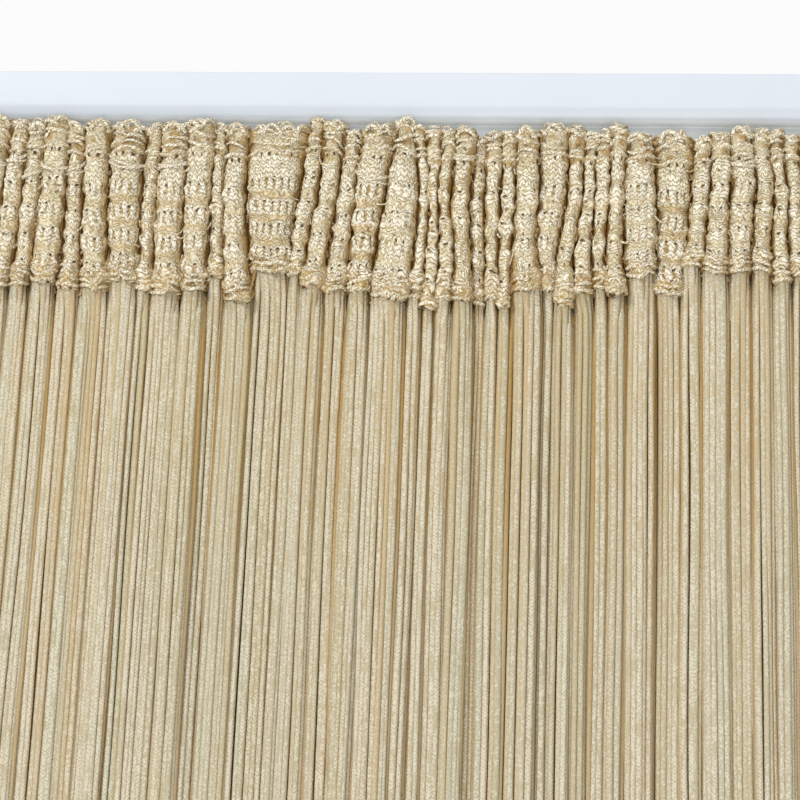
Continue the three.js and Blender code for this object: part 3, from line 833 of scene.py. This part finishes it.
def loop_piece(name, rows, material):
    """Loops along the top edge. In each row, from every column to a later one a yarn stands up from the
    edge as a half sine that leans a little; its height differs from loop to loop, more at the fronts."""
    t = np.linspace(0, 1, LOOP_STEPS)[None]
    arch = np.sin(np.pi * t)
    parts = []
    for number, (pitch, span, least, most, start, out, thin, thick) in enumerate(rows):
        source = np.random.default_rng(41 + number)
        index = np.arange(int((wales - 2) / pitch))
        wide = span * source.uniform(0.7, 1.3, (len(index), 1))
        run = (index[:, None] * pitch + 0.3 + wide * t) * wale_pitch
        u = np.interp(np.clip(run, 0.3, middle_run[-1] - 0.3), middle_run, cloth_steps)
        base, facing = folds.off_cloth(u, np.zeros_like(u), out + 0.5 * arch)
        share = source.uniform(0, 1, len(index)) * (0.3 + 0.7 * folds.forward(u.mean(1)))
        tall = (least + (most - least) * share)[:, None]
        lean = source.uniform(-0.7, 0.7, (len(index), 1)) * arch
        path = base + np.stack([lean, 0 * lean, tall * arch - start], -1)
        tone = source.uniform(0, 1, len(index))
        radius = source.uniform(thin, thick, (len(index), 1))
        parts.append((path, radius, facing, folds.flank(u), tone))
    return yarn_piece(name, *(np.concatenate(part) for part in zip(*parts)), material)


def float_piece(name, material):
    """Loose crosswise yarns that bridge the valleys, a third of them near the lower edge: from one fold's
    flank to the next, each hangs as a half sine down and back between its two ends."""
    source = np.random.default_rng(61)
    valley = np.repeat(np.arange(folds.count - 1), FLOATS)
    count = len(valley)
    kind = np.arange(count) % 3
    s = np.where(kind == 0, source.uniform(0.82, 1.02, count), source.uniform(0.03, 0.85, count))
    forward = (drift(valley * 0.63, 0.5, 62) > 0.05) & (kind == 1)
    reach = source.uniform(0.24, 0.36, (2, count)) + 0.08 * forward
    u0 = folds.ends[valley] - reach[0] * folds.length[valley]
    u1 = folds.ends[valley] + reach[1] * folds.length[valley + 1]
    out = np.full(count, 0.7)
    start, _ = folds.off_cloth(u0, s, out)
    end, _ = folds.off_cloth(u1, np.clip(s + source.uniform(-0.04, 0.04, count), 0, 1.02), out)
    t = np.linspace(0, 1, FLOAT_STEPS)[None, :, None]
    arch = np.sin(np.pi * t)
    back, down = source.uniform(-0.2, 1.0, count), source.uniform(-0.2, 2.2, count)
    sag = np.stack([np.zeros(count), back, -down], -1)
    paths = start[:, None] * (1 - t) + end[:, None] * t + sag[:, None] * arch
    axis = np.broadcast_to(np.array([0.0, -1.0, 0.3]), paths.shape)
    # Flank values set how much painted flank shade each float takes.
    flank = np.select([forward, kind == 0], [0.05, 0.2], 0.15)[:, None] + 0.1 * arch[..., 0]
    radius = source.uniform(0.36, 0.55, count)[:, None]
    return yarn_piece(name, paths, radius, axis, flank, source.uniform(0, 1, count), material)


def swag_piece(name, material):
    """Slack yarns on the broader folds: each hangs across the front from flank to flank as a half sine,
    always the same small distance out from the cloth; two lie close together on a fold."""
    source = np.random.default_rng(66)
    broad = np.flatnonzero(folds.width[0] > SWAG_LEAST_WIDTH)
    fold = np.repeat(broad[source.uniform(0, 1, len(broad)) < SWAG_SHARE], 2)
    count = len(fold)
    first = np.arange(count) // 2 * 2
    t = np.linspace(0, 1, SWAG_STEPS)[None]
    centre = folds.ends[fold] - folds.length[fold] * (0.5 + source.uniform(-0.03, 0.03, count))
    half = folds.length[fold] * source.uniform(0.2, 0.26, count)
    u = centre[:, None] + half[:, None] * (2 * t - 1)
    start = source.uniform(5.0, 14.0, count)[first] + source.uniform(-1.1, 1.1, count)
    sag = source.uniform(2.5, 6.0, count)[first] + source.uniform(-0.8, 0.8, count)
    tilt = source.uniform(-2.5, 2.5, count)[first]
    d = start[:, None] + sag[:, None] * np.sin(np.pi * t) + tilt[:, None] * (2 * t - 1)
    radius = source.uniform(0.55, 0.75, (count, 1))
    paths, facing = folds.off_cloth(u, d / ROW_SPAN, CLOTH / 2 + 0.85 + 0 * u)
    tone = source.uniform(0.6, 1, count)
    # The slack yarns take less of the painted flank shade.
    return yarn_piece(name, paths, radius, facing, folds.flank(u) * 0.6, tone, material)


def string_places(u):
    """Where each string hangs once it has settled. In every fold the middle strings lie side by side in
    front as a flat band, the outermost are spread over the fold's width at the back, and the others slip
    behind the band's edge or close the gap to the next fold. Also how deep each lies, from 0 to 1, and
    which lie in front and at the back."""
    k, share = folds.locate(u)
    first = np.searchsorted(k, np.arange(folds.count), side="left")
    number = (np.searchsorted(k, np.arange(folds.count), side="right") - first)[k]
    width = folds.width[2, k]
    from_middle = np.arange(len(u)) - first[k] - (number - 1) / 2
    away = np.abs(from_middle)
    odd = np.where(number % 2 == 0, 0.5, 0.0)
    room = width - BAND_MARGIN * (1 + 0.6 * drift(k * 5.7, 0.5, 30))
    backs = np.ceil(width / 2 / BACK_SPACING)
    behind = odd + np.round(room / BAND_PITCH / 2 + 0.5 - odd)
    behind = np.maximum(np.minimum(behind, odd + np.floor(number / 2 - backs - odd)), 1 + odd)
    pitch = np.clip(room / (2 * behind - 1), 0.85 * BAND_PITCH, 1.1 * BAND_PITCH)
    in_front = away < behind - 0.25
    at_back = ~in_front & (number / 2 - away < backs)
    between = np.maximum(np.floor(number / 2 - backs - behind) + 1, 1)
    steps_out = np.clip(away - behind + 1, 0, between)
    beyond = steps_out / between
    edge = (behind - 0.5) * pitch - 0.9
    closing = edge + np.maximum(width / 2 - edge, 0) * steps_out / (between + 0.3)
    spread = width / 2 * (1 - (number / 2 - away) / backs)
    paired = PAIR_SHIFT * np.where(np.floor(from_middle) % 2 == 0, 1, -1)
    sideways = np.sign(from_middle) * np.select([in_front, at_back], [0, spread], closing)
    sideways = sideways + in_front * (from_middle * pitch + paired)
    x = folds.start[2, k] + width / 2 + sideways + 0.7 * folds.lean(k + share)
    back = BACK_LINE - 1.2 - folds.front[k]
    back = np.select([in_front, at_back], [0.3 * away / behind, back], 0.5 + 0.9 * beyond)
    deep = np.select([in_front, at_back], [0.0, 1.0], 0.1 + 0.85 * beyond ** 2)
    return x, folds.front[k] + back, deep, in_front, at_back


def string_piece(name, index, material):
    """A run of strings as one mesh. Each starts inside the lower edge, moves to its settled place by the
    smooth step, wanders slowly with its neighbours by smooth noise, and turns a little about its length.
    The depth kept for the finish sets its painted shade; what lies deep as seen from the room lies at the
    surface as seen from behind, so that depth is turned round on the back of a ring."""
    every = (np.arange(string_count) + 0.5) / string_count * hem_run[-1]
    every = np.interp(every, hem_run, cloth_steps)
    settled_x, settled_y, deep, in_front, at_back = (part[index] for part in string_places(every))
    u = every[index]
    root = folds.place(u, np.ones_like(u))
    near = np.linspace(0, 1, NEAR_POINTS) ** 1.25 * NEAR_LENGTH
    far = np.arange(1, FAR_POINTS + 1) / FAR_POINTS * (DROP - NEAR_LENGTH - HEADING_HEIGHT)
    below = np.concatenate([near, NEAR_LENGTH + far])
    total = root[:, 2] - (HEADING_TOP - DROP + END_UNEVENNESS * drift(index * 7.3, 0.5, 31))
    below = below[None] * (total / below[-1])[:, None]
    z = root[:, 2][:, None] + 1.6 - below
    settle = ease(below / np.where(at_back, BACK_SETTLE_BY, SETTLE_BY)[:, None])
    loose = ease(below / 60)
    number = index[:, None]
    x = root[:, 0][:, None] * (1 - settle) + settled_x[:, None] * settle
    y = root[:, 1][:, None] * (1 - settle) + settled_y[:, None] * settle
    chance = np.random.default_rng(46).uniform(0, 1, (6, string_count))[:, index]
    own = np.select([in_front, at_back], [0.2, 0.25], 0.5)[:, None]
    x = x + loose * (0.6 * drift(number / 6.0, below / 90, 32) + own * drift(number * 3.7, below / 75, 33))
    x = x + settle * UNEVEN * (2 * chance[0] - 1)[:, None]
    y = y + loose * (0.5 * drift(number / 4.0, below / 110, 34) + 0.2 * drift(number * 2.9, below / 80, 35))
    y = y + settle * UNEVEN * (2 * chance[1] - 1)[:, None]
    paths = np.stack([x, np.minimum(y, BACK_LINE + 0.3), z], -1)

    ahead = folds.place(u + 0.4, np.ones_like(u)) - folds.place(u - 0.4, np.ones_like(u))
    facing = np.arctan2(ahead[:, 1], ahead[:, 0])[:, None]
    turn = np.select([in_front, at_back], [0.35, 0.3], 0.5)[:, None]
    angle = facing * (1 - settle) + settle * turn * drift(number * 1.7, below / 120, 36)
    side_axis = np.stack([np.cos(angle), np.sin(angle), np.zeros_like(angle)], -1)
    size = 1 + 0.03 * drift(number * 4.3, below / 25, 38)
    wide = size * np.where(at_back, 1.2, 1.0 + 0.36 * chance[2] ** 2)[:, None]
    wide = STRING_WIDTH / 2 * (wide * (1.25 - 0.25 * ease(below / 12)))
    points, faces, uv = tubes(paths, wide, STRING_THICKNESS / 2 * size, side_axis, STRING_SIDES)

    pair = index // 2
    tone = chance[3] * 0.4 + 0.5 * drift(pair * 5.3, 0.5, 39) + 0.3
    values = {
        "tone": np.clip(tone, 0, 1),
        "hue": 0.5 + 0.5 * drift(pair * 3.7, 0.5, 40),
        "marked": chance[5] ** 1.5,
    }
    values = {key: np.repeat(data, below.shape[1] * STRING_SIDES) for key, data in values.items()}
    ring = points.reshape(*paths.shape[:2], STRING_SIDES, 3) - paths[:, :, None]
    backwards = ease(2 * unit(ring)[..., 1])
    # The depth sets painted shade in the finish; a few strings in front take a golden tone at random.
    deep = np.where(in_front, 0.45 * (chance[4] > 0.82), deep)[:, None, None]
    values["deep"] = deep + backwards * (1 - 2 * deep)
    return new_piece(name, points, faces, material, uv, values)


def rounded(corners, reach, steps=5):
    """Outline with each corner turned into a short parabola of its own reach, or less on a short edge."""
    corners = np.array(corners, float)
    back, ahead = (np.roll(corners, by, 0) - corners for by in (1, -1))
    shorter = np.minimum(np.linalg.norm(back, axis=1), np.linalg.norm(ahead, axis=1))
    near = np.minimum(reach, 0.72 * shorter)[:, None]
    start, end = ((corners + unit(edge) * near)[:, None] for edge in (back, ahead))
    t = np.linspace(0, 1, steps)[:, None]
    outline = (1 - t) ** 2 * start + 2 * t * (1 - t) * corners[:, None] + t ** 2 * end
    return outline.reshape(-1, 2)


def rail_piece(material):
    """The rail's section, with eased corners, carried along X and drawn in a little at both ends."""
    top, bottom = RAIL_HEIGHT / 2, -RAIL_HEIGHT / 2
    web_back = WEB_FRONT + WEB_THICKNESS
    section = rounded(*zip(
        ((0, top), EASED),
        ((-RAIL_DEPTH, top), EASED),
        ((-RAIL_DEPTH, bottom + LIP_HEIGHT + LIP_STEP), 1.6),
        ((-RAIL_DEPTH + LIP_STEP, bottom), 2.9),
        ((WEB_FRONT, bottom), EASED),
        ((WEB_FRONT, bottom - WEB_HEIGHT), EASED),
        ((web_back, bottom - WEB_HEIGHT), EASED),
        ((web_back, bottom), EASED),
        ((0, bottom), EASED),
    ))
    run = np.roll(section, -1, 0) - np.roll(section, 1, 0)
    inward = unit(np.stack([-run[:, 1], run[:, 0]], -1))
    half = RAIL_LENGTH / 2
    ends = [(half - away, inset) for away, inset in RAIL_END]
    rings = [(-x, inset) for x, inset in ends] + ends[::-1]
    points = np.concatenate([
        np.column_stack([np.full(len(section), x), section + inward * inset]) for x, inset in rings
    ])
    faces = ring_faces(np.arange(len(points)).reshape(1, len(rings), -1))
    return new_piece("rail_profile", points, faces, material)


def set_camera():
    """The photo's view: the aim point is put on its pixel from the stated distance, pitch, yaw and roll."""
    pitch, yaw, roll = np.radians([VIEW_PITCH, VIEW_YAW, VIEW_ROLL])
    ahead = np.array([-np.sin(yaw) * np.cos(pitch), np.cos(yaw) * np.cos(pitch), np.sin(pitch)])
    level_right = np.array([np.cos(yaw), np.sin(yaw), 0.0])
    level_up = np.cross(level_right, ahead)
    right = np.cos(roll) * level_right + np.sin(roll) * level_up
    up = np.cos(roll) * level_up - np.sin(roll) * level_right
    ray = ahead * FOCAL_PIXELS + right * (AIM_PIXEL[0] - PIXELS / 2) - up * (AIM_PIXEL[1] - PIXELS / 2)
    place = np.array(AIM_POINT) - ray / np.linalg.norm(ray) * VIEW_DISTANCE
    camera = new_object("camera", bpy.data.cameras.new("camera"))
    camera.data.sensor_width = 36.0
    camera.data.lens = FOCAL_PIXELS / PIXELS * camera.data.sensor_width
    camera.data.clip_start = 0.01
    turn = Matrix(np.column_stack([right, up, -ahead]).tolist()).to_4x4()
    camera.matrix_world = Matrix.Translation(Vector(place * MM)) @ turn
    bpy.context.scene.camera = camera


def soft_light(name, place, aim, size, power, colour):
    """A square soft light, turned to face its aim."""
    light = bpy.data.lights.new(name, "AREA")
    light.size = size
    light.energy = power
    light.color = colour
    lamp = new_object(name, light)
    lamp.location = place
    lamp.rotation_euler = (Vector(aim) - Vector(place)).to_track_quat("-Z", "Y").to_euler()


def set_stage():
    """A pale floor below the strings, soft lights in front, and a surround that is brightest behind."""
    size, level = 4.0, CAD_BOX[0][2] - 0.02
    corners = [(-size, -size, level), (size, -size, level), (size, size, level), (-size, size, level)]
    mesh = bpy.data.meshes.new("floor")
    mesh.from_pydata(corners, [], [(0, 1, 2, 3)])
    n = Nodes(bpy.data.materials.new("floor"))
    mesh.materials.append(n.finish(FLOOR_PALE, 0.0, 0.0001, 0.9))
    floor = new_object("floor", mesh)

    n = Nodes(bpy.data.worlds.new("surround"))
    bpy.context.scene.world = n.owner
    direction = n.split(n.add("ShaderNodeTexCoord", (), "Generated"))
    background = n.tree.nodes["Background"]
    background.inputs["Color"].default_value = (1.0, 1.0, 1.0, 1)
    n.put(background.inputs["Strength"], n.step(direction[1], -0.2, 0.4, SURROUND_FRONT, SURROUND_BACK))
    bpy.context.scene.view_settings.view_transform = "Standard"
    aim = (0, 0, -0.15)
    soft_light("key", (-2.4, -2.0, 1.3), aim, 0.8, 46, (1.0, 0.985, 0.96))
    soft_light("fill", (0.3, -2.4, -0.95), aim, 1.4, 27, (1.0, 0.985, 0.975))


set_camera()
string_count = int(round(hem_run[-1] / STRING_PITCH))
knit, yarn, cord = knit_finish(), yarn_finish(), string_finish()
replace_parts(rail_piece(rail_finish()), "rail")

columns = heading_columns()
cuts = np.linspace(0, len(columns) - 1, 4).astype(int)
bands = []
for part, (first, last) in enumerate(zip(cuts, cuts[1:])):
    piece = heading_piece(f"heading_knit_{part}", columns[first:last + 1], knit)
    bands.append((piece, float(np.diff(np.interp(columns[[first, last]], cloth_steps, middle_run))[0])))
on_band = [
    rope_piece("heading_ropes_upper", UPPER_ROPES, 0, yarn),
    rope_piece("heading_ropes_lower", LOWER_ROPES, len(UPPER_ROPES), yarn),
    loop_piece("heading_loops", TOP_LOOPS, yarn),
    float_piece("heading_floats", yarn),
    swag_piece("heading_swags", yarn),
]
for part, group in enumerate(np.array_split(np.arange(string_count), 3)):
    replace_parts(string_piece(f"strings_{part}", group, cord), "strings")
for part, (piece, width) in enumerate(bands):
    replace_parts(piece, "heading")
    width * MM
    on_band if part == 1 else []

set_stage()
